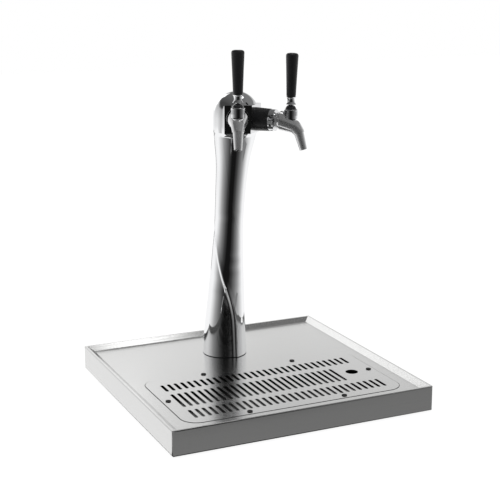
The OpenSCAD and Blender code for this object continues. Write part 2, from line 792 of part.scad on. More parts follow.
module dome_cap() {
    centre_z = dome_h - dome_sphere_r;
    color(chrome_color) at_head() translate([0, 0, seam_z]) difference() {
        union() {
            intersection() {
                translate([0, 0, centre_z]) sphere(r = dome_sphere_r);
                cylinder(h = dome_h + overrun, r = dome_sphere_r + overrun);
            }
            translate([0, 0, -spigot_h]) cylinder(h = spigot_h + dome_wall, r = spigot_r);
        }
        intersection() {
            translate([0, 0, centre_z]) sphere(r = dome_sphere_r - dome_wall);
            translate([0, 0, dome_wall]) cylinder(h = dome_h, r = dome_sphere_r);
        }
        translate([0, 0, -spigot_h - overrun]) cylinder(h = spigot_h + dome_h / 2, r = spigot_r - dome_wall);
        translate([0, 0, -cap_ring_depth]) rotate_extrude() translate([spigot_r, 0])
            circle(r = cap_ring_r + fit_gap, $fn = 32);
    }
}

module cap_ring() {
    color(rubber_color) at_head() translate([0, 0, seam_z - cap_ring_depth]) intersection() {
        rotate_extrude() translate([spigot_r, 0]) circle(r = cap_ring_r, $fn = 32);
        cylinder(h = 4 * cap_ring_r, r = cap_bore_r - fit_gap, center = true);
    }
}

// Beer lines follow the spine up, then move over to the legs of their elbows and end in them
line_low = line_foot_z - column_z;
line_high = axis_h - elbow_leg + elbow_socket - elbow_d * sin(max(left_tap_rise, right_tap_rise));
line_join = line_high - 1.5 * elbow_socket;
line_turn_h = tap_h * 0.74;
function line_share(h) = ease(min(max((h - line_turn_h) / (line_join - line_turn_h), 0), 1));
function leg_out(azimuth, h) =
    elbow_reach / cos(tap_rise(azimuth)) + tan(tap_rise(azimuth)) * (axis_h - h);
function line_axis(azimuth, h) =
    mix(
        spine(h) + aim(tower_turn + 90) * sign(azimuth - tower_turn) * line_spread,
        head_centre() + aim(tower_turn) * tap_forward + aim(azimuth) * leg_out(azimuth, h),
        line_share(h)
    );
function line_ring(azimuth, h, d) =
    let (c = line_axis(azimuth, h))
    [for (i = [0 : line_sides - 1])
        let (a = i * 360 / line_sides) concat(c + aim(a) * d / 2, [h])];

module line_solid(azimuth, d, low, high) {
    foot = aim(tower_turn + 90) * sign(azimuth - tower_turn) * line_spread;
    translate([foot[0], foot[1], low]) cylinder(h = line_tail_end - low, d = d);
    ring_skin(concat(
        [line_ring(azimuth, line_tail_end - slide_gap, d - 2 * slide_gap)],
        [line_ring(azimuth, line_tail_end + slide_gap, d)],
        [for (i = [0 : line_rings]) line_ring(azimuth, mix(0, line_join, i / line_rings), d)],
        [line_ring(azimuth, high, d)]
    ));
}

module beer_line(azimuth) {
    color(hose_color) on_column_axis() translate([0, 0, column_z]) difference() {
        line_solid(azimuth, line_d, line_low, line_high);
        line_solid(azimuth, line_bore_d, line_low - overrun, line_high + overrun);
    }
}

// Tap pieces, each drawn with the tap's axis along -Y from the taps' meeting point
module line_elbow(azimuth) {
    color(dark_steel_color) at_tap(azimuth) difference() {
        union() {
            tap_rod(elbow_reach, shank_start, elbow_d);
            translate([0, -elbow_reach, -elbow_leg]) cylinder(h = elbow_leg, d = elbow_d);
            translate([0, -elbow_reach, 0]) sphere(d = elbow_d);
        }
        tap_rod(elbow_reach, shank_start + overrun, line_bore_d);
        translate([0, -elbow_reach, -elbow_leg - overrun]) cylinder(h = elbow_leg + overrun, d = line_bore_d);
        translate([0, -elbow_reach, -elbow_leg - overrun])
            cylinder(h = elbow_socket + overrun + fit_gap, d = line_d + 2 * thread_gap);
    }
}

module shank(azimuth) {
    color(steel_color) at_tap(azimuth) difference() {
        union() {
            tap_rod(shank_start, collar_end, shank_d);
            tap_rod(collar_end, shank_head_end, shank_head_d - 2 * thread_gap);
        }
        tap_rod(shank_start - overrun, shank_head_end + overrun, shank_bore_d);
    }
}

module shank_nut(azimuth) {
    color(dark_steel_color) at_tap(azimuth) difference() {
        tap_rod(wall_inner - shank_nut_t, wall_inner, shank_nut_d);
        tap_rod(wall_inner - shank_nut_t - overrun, wall_inner + overrun, shank_d + 2 * fit_gap);
    }
}

module collar(azimuth) {
    color(black_color) at_tap(azimuth) difference() {
        along_tap(collar_start) cylinder(h = collar_l, d1 = collar_d, d2 = collar_nut_d);
        tap_rod(collar_start - overrun, collar_end + overrun, shank_d + 2 * thread_gap);
    }
}

module coupling_nut(azimuth) {
    color(chrome_color) at_tap(azimuth) difference() {
        tap_rod(nut_start, nut_end, nut_d);
        tap_rod(nut_start - overrun, flange_end + thread_gap, shank_head_d);
        tap_rod(nut_start, nut_end + overrun, tap_neck_d + 2 * thread_gap);
        for (i = [0 : nut_pins - 1])
            translate([0, -(nut_start + nut_l / 2), 0]) rotate([0, (i + 0.5) * 360 / nut_pins, 0])
            translate([0, 0, nut_d / 2 - nut_pin_depth]) cylinder(h = nut_pin_depth + overrun, d = nut_pin_d);
    }
}

module tap_washer(azimuth) {
    color(rubber_color) at_tap(azimuth) difference() {
        tap_rod(shank_head_end, flange_start, tap_washer_d);
        tap_rod(shank_head_end - overrun, flange_start + overrun, shank_bore_d + 2 * tap_washer_t);
    }
}

module tap_body(azimuth) {
    color(steel_color) at_tap(azimuth) difference() {
        union() {
            tap_rod(flange_start, flange_end, tap_flange_d);
            tap_rod(flange_start, barrel_start, tap_neck_d);
            tap_rod(barrel_start, shoulder, barrel_d);
            hull() {
                tap_rod(shoulder - slide_gap, shoulder, barrel_d);
                translate([0, -shoulder, 0]) sphere(d = barrel_d * 0.94, $fn = 32);
                translate([0, -lever_r - knee_out, -knee_drop]) sphere(r = elbow_knee_r, $fn = 32);
            }
            hull() {
                translate([0, -lever_r - knee_out, -knee_drop]) sphere(r = elbow_knee_r, $fn = 32);
                on_spout() translate([0, 0, socket_l - socket_rim_l])
                    cylinder(h = socket_rim_l, d = socket_d, $fn = 32);
            }
        }
        difference() {
            translate([0, -lever_r, bonnet_seat]) cylinder(h = barrel_d, d = bonnet_d + 2 * slide_gap);
            translate([0, -lever_r, 0]) cylinder(h = boss_top, r = boss_r);
        }
        tap_rod(flange_start - overrun, seat_r, chamber_d);
        tap_rod(seat_r - overrun, lever_r + block_half + overrun, 2 * guide_r);
        translate([0, -lever_r, -guide_r]) cylinder(h = boss_top + guide_r + overrun, r = well_r);
        translate([-well_half, -lever_r, 0]) cube([2 * well_half, arm_reach, boss_top + overrun]);
        on_spout() cylinder(h = socket_l + overrun, d = spout_bore_d);
        on_spout() translate([0, 0, socket_l - spout_spigot_l]) cylinder(h = spout_spigot_l + overrun,
            d = spout_spigot_d + 2 * fit_gap);
    }
}

module spout(azimuth) {
    color(steel_color) at_tap(azimuth) on_spout() difference() {
        union() {
            translate([0, 0, socket_l]) cylinder(h = spout_l, d1 = spout_root_d, d2 = spout_tip_d);
            translate([0, 0, socket_l - spout_spigot_l]) cylinder(h = spout_spigot_l, d = spout_spigot_d);
        }
        translate([0, 0, socket_l - spout_spigot_l - overrun])
            cylinder(h = spout_l + spout_spigot_l + 2 * overrun, d = spout_bore_d);
    }
}

module at_ball(azimuth) {
    at_tap(azimuth) translate([0, -lever_r, ball_h]) children();
}

module bonnet(azimuth) {
    height = ball_h + bonnet_lip - bonnet_seat;
    half = bonnet_d / 2;
    color(chrome_color) at_tap(azimuth) translate([0, -lever_r, bonnet_seat]) difference() {
        rotate_extrude() union() {
            square([half - bonnet_round, height]);
            square([half, height - bonnet_round]);
            translate([half - bonnet_round, height - bonnet_round]) circle(r = bonnet_round, $fn = 32);
        }
        translate([0, 0, -overrun]) cylinder(h = ball_h - bonnet_seat + overrun, d = ball_d + 2 * fit_gap);
        translate([0, 0, ball_h - bonnet_seat]) sphere(d = ball_d + 2 * fit_gap);
        for (i = [0 : knurl_count - 1]) rotate([0, 0, i * 360 / knurl_count])
            translate([half - knurl_depth, -knurl_w / 2, height * 0.35])
                cube([knurl_depth + overrun, knurl_w, height * 0.45]);
    }
}

module ball_seat(azimuth) {
    color(rubber_color) at_tap(azimuth) translate([0, -lever_r, boss_top]) difference() {
        cylinder(h = ball_h - boss_top - ball_d / 4, d = ball_d - fit_gap);
        translate([0, 0, ball_h - boss_top]) sphere(d = ball_d + 2 * fit_gap);
        translate([0, 0, -overrun]) cylinder(h = ball_d, d = ball_d * 0.82);
    }
}

module lever_ball(azimuth) {
    color(black_color) at_ball(azimuth) difference() {
        sphere(d = ball_d);
        translate([0, 0, -ball_d]) cylinder(h = 2 * ball_d, d = arm_d + 2 * fit_gap);
        cylinder(h = ball_d, d = lever_d + 2 * fit_gap);
    }
}

module lever(azimuth) {
    color(steel_color) at_ball(azimuth) {
        translate([0, 0, -ball_h]) cylinder(h = ball_h, d = arm_d);
        translate([0, 0, -ball_h]) sphere(r = tip_r);
        cylinder(h = ferrule_foot - ball_h + ferrule_l + lever_thread, d = lever_d);
    }
}

module ferrule(azimuth) {
    waist_cut = (pow(ferrule_l / 2, 2) + pow((ferrule_d - ferrule_waist_d) / 2, 2)) / (ferrule_d - ferrule_waist_d);
    color(chrome_color) at_tap(azimuth) translate([0, -lever_r, ferrule_foot]) rotate_extrude() difference() {
        translate([lever_d / 2 + fit_gap, 0]) square([ferrule_d / 2 - lever_d / 2 - fit_gap, ferrule_l]);
        translate([ferrule_waist_d / 2 + waist_cut, ferrule_l / 2]) circle(r = waist_cut);
    }
}

// Width of the handle by height, its soft section and its rounded top
function handle_width(t) = mix(handle_foot_w, handle_top_w, pow(t, 1.15));
function handle_close(t) = t < 0.93 ? 1 : sqrt(1 - pow((t - 0.93) / 0.07, 2) * 0.85);
function handle_foot_close(t) = t > 0.05 ? 1 : 0.86 + 0.14 * ease(t / 0.05);
function soft(v) = sign(v) * pow(abs(v), 0.72);
handle_share_steps = concat([for (i = [0 : handle_rings - 6]) i / (handle_rings - 6) * 0.93],
    [0.95, 0.965, 0.978, 0.989, 1]);
function handle_ring(t) =
    let (w = handle_width(t) * handle_close(t) * handle_foot_close(t) / 2)
    [for (i = [0 : handle_sides - 1])
        let (a = i * 360 / handle_sides)
        [w * soft(sin(a)), -w * handle_depth_share * soft(cos(a)), t * handle_l]];

module handle(azimuth) {
    color(black_color) at_tap(azimuth) translate([0, -lever_r, handle_foot]) difference() {
        ring_skin([for (t = handle_share_steps) handle_ring(t)]);
        translate([0, 0, -overrun]) cylinder(h = lever_thread + 2 * overrun, d = lever_d + 2 * fit_gap);
    }
}

// Piston: a stem with a slotted block that the lever's tip drives, and a seal against the seat
module piston(azimuth) {
    color(steel_color) at_tap(azimuth) difference() {
        union() {
            tap_rod(seat_r - piston_tail, lever_r, piston_d);
            tap_rod(lever_r - block_half, lever_r + block_half, 2 * block_r);
        }
        translate([-well_half, -lever_r - block_slot_half, -2 * block_r])
            cube([2 * well_half, 2 * block_slot_half, 4 * block_r]);
    }
}

module piston_seal(azimuth) {
    color(rubber_color) at_tap(azimuth) difference() {
        tap_rod(seat_r - slide_gap / 2 - seal_t, seat_r - slide_gap / 2, seal_d);
        tap_rod(seat_r - 2 * seal_t, seat_r + overrun, piston_d + 2 * fit_gap);
    }
}

module left_beer_line() { beer_line(left_turn); }
module right_beer_line() { beer_line(right_turn); }
module left_line_elbow() { line_elbow(left_turn); }
module right_line_elbow() { line_elbow(right_turn); }
module left_shank() { shank(left_turn); }
module right_shank() { shank(right_turn); }
module left_shank_nut() { shank_nut(left_turn); }
module right_shank_nut() { shank_nut(right_turn); }
module left_collar() { collar(left_turn); }
module right_collar() { collar(right_turn); }
module left_coupling_nut() { coupling_nut(left_turn); }
module right_coupling_nut() { coupling_nut(right_turn); }
module left_tap_washer() { tap_washer(left_turn); }
module right_tap_washer() { tap_washer(right_turn); }
module left_tap_body() { tap_body(left_turn); }
module right_tap_body() { tap_body(right_turn); }
module left_spout() { spout(left_turn); }
module right_spout() { spout(right_turn); }
module left_bonnet() { bonnet(left_turn); }
module right_bonnet() { bonnet(right_turn); }
module left_ball_seat() { ball_seat(left_turn); }
module right_ball_seat() { ball_seat(right_turn); }
module left_lever() { lever(left_turn); }
module right_lever() { lever(right_turn); }
module left_lever_ball() { lever_ball(left_turn); }
module right_lever_ball() { lever_ball(right_turn); }
module left_ferrule() { ferrule(left_turn); }
module right_ferrule() { ferrule(right_turn); }
module left_handle() { handle(left_turn); }
module right_handle() { handle(right_turn); }
module left_piston() { piston(left_turn); }
module right_piston() { piston(right_turn); }
module left_piston_seal() { piston_seal(left_turn); }
module right_piston_seal() { piston_seal(right_turn); }

tray_shell();
tray_feet();
drip_basin();
drain_fitting();
drain_gasket();
drain_nut();
drain_strainer();
grille();
grille_buffers();
column();
column_gasket();
base_studs();
stud_washers();
stud_nuts();
line_grommet();
dome_cap();
cap_ring();
left_beer_line();
right_beer_line();
left_line_elbow();
right_line_elbow();
left_shank();
right_shank();
left_shank_nut();
right_shank_nut();
left_collar();
right_collar();
left_coupling_nut();
right_coupling_nut();
left_tap_washer();
right_tap_washer();
left_tap_body();
right_tap_body();
left_spout();
right_spout();
left_bonnet();
right_bonnet();
left_ball_seat();
right_ball_seat();
left_lever();
right_lever();
left_lever_ball();
right_lever_ball();
left_ferrule();
right_ferrule();
left_handle();
right_handle();
left_piston();
right_piston();
left_piston_seal();
right_piston_seal();
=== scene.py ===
"""Dresses a draft beer tower on its drip tray: finishes, castings, grips and the studio round them."""

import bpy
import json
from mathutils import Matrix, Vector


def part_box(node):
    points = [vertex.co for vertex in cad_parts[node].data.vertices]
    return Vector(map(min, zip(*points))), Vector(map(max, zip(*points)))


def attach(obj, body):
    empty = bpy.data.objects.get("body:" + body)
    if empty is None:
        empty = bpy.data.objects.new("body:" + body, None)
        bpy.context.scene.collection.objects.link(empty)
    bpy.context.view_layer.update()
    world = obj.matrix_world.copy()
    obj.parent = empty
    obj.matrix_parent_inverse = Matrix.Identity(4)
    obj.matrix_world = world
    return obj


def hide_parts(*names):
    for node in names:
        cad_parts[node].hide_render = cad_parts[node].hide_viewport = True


bl_info = {
    "name": "Draft Beer Tower",
    "version": (1, 0, 0),
    "blender": (4, 5, 0),
    "location": "View3D > Sidebar > Beer Tower",
    "description": "Finishes and pieces of a draft beer tower with two lever taps, and a small studio",
    "category": "Object",
}

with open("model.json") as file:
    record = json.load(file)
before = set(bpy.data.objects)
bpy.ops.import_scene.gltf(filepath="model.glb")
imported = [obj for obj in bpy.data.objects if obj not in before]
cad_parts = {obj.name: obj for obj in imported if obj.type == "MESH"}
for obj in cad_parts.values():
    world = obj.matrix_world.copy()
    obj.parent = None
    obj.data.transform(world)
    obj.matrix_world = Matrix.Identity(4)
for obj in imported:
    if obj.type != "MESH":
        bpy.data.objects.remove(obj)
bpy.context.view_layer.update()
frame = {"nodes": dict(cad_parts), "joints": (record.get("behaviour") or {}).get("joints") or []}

import json
import math

import bmesh
import bpy
from bpy.props import FloatProperty, FloatVectorProperty, PointerProperty
from mathutils import Matrix, Vector

SIDES = ("left", "right")
JOINTS = {joint["name"]: joint for joint in frame["joints"]}

# Points of a solid that lie closer than this, in metres, are one
WELD = 0.000002
# Faces that meet at a larger angle keep a sharp edge between them
COLUMN_CREASE = math.radians(38)
CASTING_CREASE = math.radians(40)
LINE_CREASE = math.radians(40)
GRIP_CREASE = math.radians(50)
# The column's triangles that bend and skew less than this are joined
JOINED_BEND = math.radians(8)
JOINED_SKEW = math.radians(60)

# A handle's outline: shares of its length, and of its taper's width at that height
GRIP_FOOT_SHARES = ((0, 0.9), (0.012, 0.965), (0.028, 0.99), (0.05, 1))
GRIP_TOP_SHARES = ((0.95, 0.985), (0.967, 0.945), (0.982, 0.86), (0.993, 0.7), (1, 0.45))
GRIP_SHAFT_SHARE = 0.88
GRIP_SHAFT_RINGS = 9
GRIP_TAPER_POWER = 1.15
GRIP_SIDES = 32
GRIP_BORE_DEPTH_SHARE = 0.28

# Sides of the round panels
WALL_SIDES = 128
CEILING_SIDES = 64
# Levels beside the dark gap: degrees from its middle, and the level there
GAP_LEVELS = ((12, 0.008), (30, 0.055), (50, 0.18), (70, 0.37), (90, 0.72), (110, 1))

BASIN_NODES = ("drip_basin", "drain_strainer")
TURNED_STEEL_NODES = ("spout", "shank", "lever", "piston")
CHROME_NODES = ("bonnet", "coupling_nut", "ferrule")
PLATED_NODES = ("drain_fitting", "drain_nut", "base_studs", "stud_washers", "stud_nuts")
FITTING_NODES = ("line_elbow", "shank_nut")
SEAL_NODES = ("tap_washer", "ball_seat", "piston_seal")
RUBBER_NODES = (
    "tray_feet", "drain_gasket", "grille_buffers", "column_gasket", "line_grommet", "cap_ring",
)


def metres(name, description, default):
    return FloatProperty(
        name=name, description=description, default=default, subtype="DISTANCE", unit="LENGTH"
    )


def share(name, description, default):
    return FloatProperty(
        name=name, description=description, default=default, min=0, max=1, subtype="FACTOR"
    )


def number(name, description, default):
    return FloatProperty(name=name, description=description, default=default)


def point(name, description, default):
    return FloatVectorProperty(
        name=name, description=description, default=default, size=len(default), unit="LENGTH",
        subtype="TRANSLATION" if len(default) == 3 else "XYZ",
    )


def colour(name, description, default):
    return FloatVectorProperty(
        name=name, description=description, default=(*default, 1), size=4, min=0, max=1, subtype="COLOR"
    )


def degrees(name, description, default):
    return FloatProperty(
        name=name, description=description, default=math.radians(default), subtype="ANGLE", unit="ROTATION"
    )


class TowerSizes(bpy.types.PropertyGroup):
    """Sizes of the pieces that are modelled here."""

    grip_length: metres("Grip length", "Length of a tap handle", 0.07)
    grip_foot_width: metres("Grip foot width", "Width of a tap handle above its foot", 0.0159)
    grip_top_width: metres("Grip top width", "Width of a tap handle near its top", 0.0214)
    grip_depth_share: share("Grip depth share", "Depth of a tap handle as a share of its width", 0.97)
    grip_lift: metres("Grip lift", "Height of a handle's foot above the centre of its ball", 0.02165)
    grip_bore: metres("Grip bore", "Diameter of the hole for the lever pin", 0.0081)
    left_rise: degrees("Left rise", "How much the left tap rises outwards", 4.2)
    right_rise: degrees("Right rise", "How much the right tap rises outwards", -1.2)


class TowerFinishes(bpy.types.PropertyGroup):
    """Colours and gloss of the tower's finishes."""

    chrome_colour: colour("Chrome", "Mirror chrome of column, cap, nuts and ferrules", (0.9, 0.905, 0.915))
    chrome_roughness: share("Chrome roughness", "Roughness of the mirror chrome", 0.035)
    sheet_colour: colour("Brushed sheet", "Brushed stainless sheet of the tray", (0.7, 0.7, 0.695))
    sheet_roughness: share("Sheet roughness", "Roughness of the brushed sheet", 0.2)
    # Painted shade: near-black colour of the grille's upright faces, the walls of its slots and its edges
    slot_wall_shade_colour: colour("Cut edge", "Dark cut edges of the grille's slots", (0.06, 0.06, 0.06))
    casting_colour: colour("Tap steel", "Polished stainless steel of the taps", (0.8, 0.8, 0.805))
    casting_roughness: share("Tap roughness", "Roughness of the polished taps", 0.15)
    plated_colour: colour("Plating", "Bright zinc on the hidden fasteners", (0.56, 0.57, 0.58))
    resin_colour: colour("Black resin", "Moulded resin of the handles and collars", (0.009, 0.009, 0.01))
    resin_roughness: share("Resin roughness", "Roughness of the black resin", 0.34)
    gloss_colour: colour("Gloss black", "Polished black of the lever balls", (0.012, 0.012, 0.013))
    rubber_colour: colour("Rubber", "Black rubber of feet, buffers and seals", (0.018, 0.018, 0.018))
    hose_colour: colour("Beer line", "Milky plastic of the beer lines", (0.72, 0.73, 0.7))


class TowerStudio(bpy.types.PropertyGroup):
    """Camera, lamps and the panels that the metal mirrors."""

    lens: number("Lens", "Focal length of the camera in millimetres", 84.55)
    sensor_width: number("Sensor width", "Width of the camera's sensor in millimetres", 36)
    clip_start: metres("Clip start", "Nearest distance that the camera sees", 0.05)
    clip_end: metres("Clip end", "Farthest distance that the camera sees", 50)
    camera_place: point("Camera place", "Where the camera stands", (-0.79065, -1.7082, 0.69975))
    camera_azimuth: degrees("Camera azimuth", "How far the camera is turned about the vertical", -24.83)
    camera_elevation: degrees("Camera elevation", "How far the camera looks down", 13.64)
    floor_size: metres("Floor size", "Distance from the floor's middle to its edges", 6)
    floor_colour: colour("Floor", "Pale floor under the tray", (0.84, 0.84, 0.84))
    floor_glow: number("Floor glow", "Strength of the floor's own white where it is seen or mirrored", 1.12)
    floor_glow_share: share("Floor glow share", "Share of that white in the floor's look", 0.8)
    sky_level: share("Sky level", "Strength of the even light from all round", 0.78)
    key_energy: number("Key lamp", "Power of the large lamp on the left, in watts", 7)
    key_place: point("Key place", "Where the lamp on the left hangs", (-1.1, -0.5, 1.5))
    fill_energy: number("Fill lamp", "Power of the lamp on the right, in watts", 4)
    fill_place: point("Fill place", "Where the lamp on the right hangs", (1.2, -0.3, 1.2))
    lamp_size: metres("Lamp size", "Width of each lamp", 0.9)
    lamp_aim: metres("Lamp aim", "Height above the floor at which the lamps are aimed", 0.25)
    gap_azimuth: degrees("Dark gap", "Direction of the dark gap in front, left of straight ahead", 16)
    wall_radius: metres("Wall radius", "Distance of the mirrored wall from the tower", 0.9)
    wall_height: metres("Wall height", "Height of the mirrored wall", 0.8)
    wall_middle: metres("Wall middle", "Sideways place of the part that is greyed least high up", 0.03)
    ceiling_height: metres("Ceiling height", "Height of the dark ceiling panel", 1.15)
    ceiling_radius: metres("Ceiling radius", "Radius of the dark ceiling panel", 2)
    window_place: point("Window place", "Where the white window is in the ceiling", (0.235, 0.155))
    window_radius: metres("Window radius", "Radius of the white window in the ceiling", 0.17)
    strip_reach_share: share("Strip reach", "Distance of the strips as a share of the wall's", 0.97)
    strip_azimuth: degrees("Strip azimuth", "Direction of the grey strip behind on the left", -172)
    strip_width: metres("Strip width", "Width of the grey strip", 0.2)
    strip_height: metres("Strip height", "Height of the grey strip", 0.24)
    strip_level: share("Strip level", "Level of the grey strip", 0.45)
    white_width: metres("White strip width", "Width of the white strip behind", 0.3)
    white_height: metres("White strip height", "Height of the white strip", 0.38)
    white_middle: metres("White strip middle", "Height of the white strip's middle above the floor", 0.66)
    white_strength: number("White strip strength", "Strength of the white strip", 1.4)
    cloth_depth: metres("Cloth depth", "Depth of the cloths in front of and beside the tray", 0.11)
    cloth_level: share("Cloth level", "Level of the grey cloth in front", 0.22)
    front_cloth_width: metres("Front cloth width", "Width of the grey cloth in front", 0.9)
    front_cloth_shift: metres("Front cloth shift", "How far that cloth's middle is to the right", 0.1)
    side_cloth_length: metres("Side cloth length", "Length of the white cloth on the left", 0.56)
    side_cloth_shift: metres("Side cloth shift", "How far that cloth's middle is to the back", 0.07)
    cloth_step: metres("Cloth step", "Height of each cloth above the one below", 0.001)


# Finishes


def new_finish(name, base, metallic, roughness):
    """A material with a Principled shader, and its node tree and shader."""
    material = bpy.data.materials.new(name)
    material.use_nodes = True
    tree = material.node_tree
    tree.nodes.clear()
    output = tree.nodes.new("ShaderNodeOutputMaterial")
    shader = tree.nodes.new("ShaderNodeBsdfPrincipled")
    tree.links.new(shader.outputs["BSDF"], output.inputs["Surface"])
    shader.inputs["Base Color"].default_value = base
    shader.inputs["Metallic"].default_value = metallic
    shader.inputs["Roughness"].default_value = roughness
    material.diffuse_color = base
    material.metallic = metallic
    material.roughness = roughness
    return material, tree, shader


def stretched_noise(tree, scale, detail=3, roughness=0.55):
    """Noise on Object coordinates, stretched by the scale along each axis."""
    place = tree.nodes.new("ShaderNodeTexCoord")
    mapping = tree.nodes.new("ShaderNodeMapping")
    mapping.inputs["Scale"].default_value = scale
    noise = tree.nodes.new("ShaderNodeTexNoise")
    noise.inputs["Scale"].default_value = 1
    noise.inputs["Detail"].default_value = detail
    noise.inputs["Roughness"].default_value = roughness
    tree.links.new(place.outputs["Object"], mapping.inputs["Vector"])
    tree.links.new(mapping.outputs["Vector"], noise.inputs["Vector"])
    return noise.outputs["Fac"]


def spread(tree, value, low, high, start=0.3, end=0.7):
    """A value that runs from low to high as the given one runs from start to end."""
    ranged = tree.nodes.new("ShaderNodeMapRange")
    ranged.inputs["From Min"].default_value = start
    ranged.inputs["From Max"].default_value = end
    ranged.inputs["To Min"].default_value = low
    ranged.inputs["To Max"].default_value = high
    tree.links.new(value, ranged.inputs["Value"])
    return ranged.outputs["Result"]


def combine(tree, operation, *values):
    """Sockets or plain numbers put together by a Math node."""
    step = tree.nodes.new("ShaderNodeMath")
    step.operation = operation
    for socket, value in zip(step.inputs, values):
        if isinstance(value, bpy.types.NodeSocket):
            tree.links.new(value, socket)
        else:
            socket.default_value = value
    return step.outputs["Value"]


def facing(tree, axis, least):
    """1 on faces whose true normal has more than this of an axis, either way, else 0."""
    geometry = tree.nodes.new("ShaderNodeNewGeometry")
    split = tree.nodes.new("ShaderNodeSeparateXYZ")
    tree.links.new(geometry.outputs["True Normal"], split.inputs["Vector"])
    return combine(tree, "GREATER_THAN", combine(tree, "ABSOLUTE", split.outputs[axis]), least)


def tint(tree, value, shader, base, change):
    """Base colour that drifts by a share round the given one."""
    mix = tree.nodes.new("ShaderNodeMix")
    mix.data_type = "RGBA"
    mix.inputs["A"].default_value = (*[c * (1 - change) for c in base[:3]], 1)
    mix.inputs["B"].default_value = (*[min(1, c * (1 + change)) for c in base[:3]], 1)
    tree.links.new(value, mix.inputs["Factor"])
    tree.links.new(mix.outputs["Result"], shader.inputs["Base Color"])


def relief(tree, value, shader, depth, strength=1):
    """Relief of a depth in metres."""
    bump = tree.nodes.new("ShaderNodeBump")
    bump.inputs["Strength"].default_value = strength
    bump.inputs["Distance"].default_value = depth
    tree.links.new(value, bump.inputs["Height"])
    tree.links.new(bump.outputs["Normal"], shader.inputs["Normal"])


def along_faces(tree, grain, tolerance=0.7):
    """Grain that runs along X on most faces, and along Y on faces that look along X."""
    mix = tree.nodes.new("ShaderNodeMix")
    tree.links.new(facing(tree, "X", tolerance), mix.inputs["Factor"])
    tree.links.new(stretched_noise(tree, grain), mix.inputs["A"])
    tree.links.new(stretched_noise(tree, (grain[1], grain[0], grain[2])), mix.inputs["B"])
    return mix.outputs["Result"]


def mirror_chrome(finishes):
    """Chrome plate with a faint wave from polishing and a soft drift in its gloss."""
    base, rough = finishes.chrome_colour, finishes.chrome_roughness
    material, tree, shader = new_finish("mirror_chrome", base, metallic=1, roughness=rough)
    film = stretched_noise(tree, scale=(14, 14, 9))
    tree.links.new(spread(tree, film, low=rough * 0.5, high=rough * 1.7), shader.inputs["Roughness"])
    tint(tree, film, shader, base, change=0.02)
    relief(tree, stretched_noise(tree, scale=(45, 45, 25), detail=1), shader, depth=0.00001)
    return material


def brushed_sheet(finishes, name="brushed_sheet", painted_shade_factor=1.0, grain=(7, 620, 620)):
    """Stainless sheet with fine brush lines along the tray's width."""
    # A factor below 1 darkens the sheet's colour: painted shade
    base = (*[c * painted_shade_factor for c in finishes.sheet_colour[:3]], 1)
    rough = finishes.sheet_roughness
    material, tree, shader = new_finish(name, base, metallic=1, roughness=rough)
    lines = along_faces(tree, grain)
    tree.links.new(spread(tree, lines, low=rough * 0.8, high=rough * 1.3), shader.inputs["Roughness"])
    tint(tree, lines, shader, base, change=0.05)
    relief(tree, lines, shader, depth=0.000028)
    return material


def slotted_sheet(finishes):
    """The brushed sheet of the grille, with painted shade, a near-black colour, on the upright walls of its
    slots and on its edges.
    """
    material = brushed_sheet(finishes, "slotted_sheet")
    tree = material.node_tree
    shader = tree.nodes["Principled BSDF"]
    # Painted shade: faces that are not flat take the near-black colour instead of the sheet's
    mix = tree.nodes.new("ShaderNodeMix")
    mix.data_type = "RGBA"
    mix.inputs["A"].default_value = finishes.slot_wall_shade_colour
    tree.links.new(facing(tree, "Z", least=0.5), mix.inputs["Factor"])
    tree.links.new(shader.inputs["Base Color"].links[0].from_socket, mix.inputs["B"])
    tree.links.new(mix.outputs["Result"], shader.inputs["Base Color"])
    return material


def polished_casting(finishes):
    """Investment cast stainless steel, ground and polished by hand."""
    base, rough = finishes.casting_colour, finishes.casting_roughness
    material, tree, shader = new_finish("polished_casting", base, metallic=0.9, roughness=rough)
    cloud = stretched_noise(tree, scale=(160, 160, 160))
    tree.links.new(spread(tree, cloud, low=rough * 0.7, high=rough * 1.5), shader.inputs["Roughness"])
    tint(tree, cloud, shader, base, change=0.06)
    relief(tree, stretched_noise(tree, scale=(260, 260, 260), detail=2), shader, depth=0.000003)
    return material


def bright_plate(finishes):
    """Zinc plate with cloudy patches."""
    base = finishes.plated_colour
    material, tree, shader = new_finish("bright_plate", base, metallic=1, roughness=0.3)
    cloud = stretched_noise(tree, scale=(240, 240, 240))
    tree.links.new(spread(tree, cloud, low=0.22, high=0.42), shader.inputs["Roughness"])
    tint(tree, cloud, shader, base, change=0.12)
    relief(tree, cloud, shader, depth=0.00002)
    return material


def moulded_resin(finishes):
    """Satin black resin with a fine leathery skin."""
    base, rough = finishes.resin_colour, finishes.resin_roughness
    material, tree, shader = new_finish("moulded_resin", base, metallic=0, roughness=rough)
    skin = stretched_noise(tree, scale=(900, 900, 900), detail=2)
    tree.links.new(spread(tree, skin, low=rough * 0.85, high=rough * 1.2), shader.inputs["Roughness"])
    tint(tree, stretched_noise(tree, scale=(60, 60, 30)), shader, base, change=0.25)
    relief(tree, skin, shader, depth=0.00002)
    return material


def gloss_black(finishes):
    """Polished black with light rub marks."""
    base = finishes.gloss_colour
    material, tree, shader = new_finish("gloss_black", base, metallic=0, roughness=0.16)
    marks = stretched_noise(tree, scale=(500, 500, 60))
    tree.links.new(spread(tree, marks, low=0.1, high=0.26), shader.inputs["Roughness"])
    tint(tree, marks, shader, base, change=0.3)
    relief(tree, marks, shader, depth=0.000008)
    shader.inputs["Coat Weight"].default_value = 0.4
    shader.inputs["Coat Roughness"].default_value = 0.08
    return material


def black_rubber(finishes):
    """Matt rubber with a powdery skin."""
    base = finishes.rubber_colour
    material, tree, shader = new_finish("black_rubber", base, metallic=0, roughness=0.75)
    powder = stretched_noise(tree, scale=(700, 700, 700), detail=4)
    tree.links.new(spread(tree, powder, low=0.62, high=0.88), shader.inputs["Roughness"])
    tint(tree, powder, shader, base, change=0.3)
    relief(tree, powder, shader, depth=0.00004)
    return material


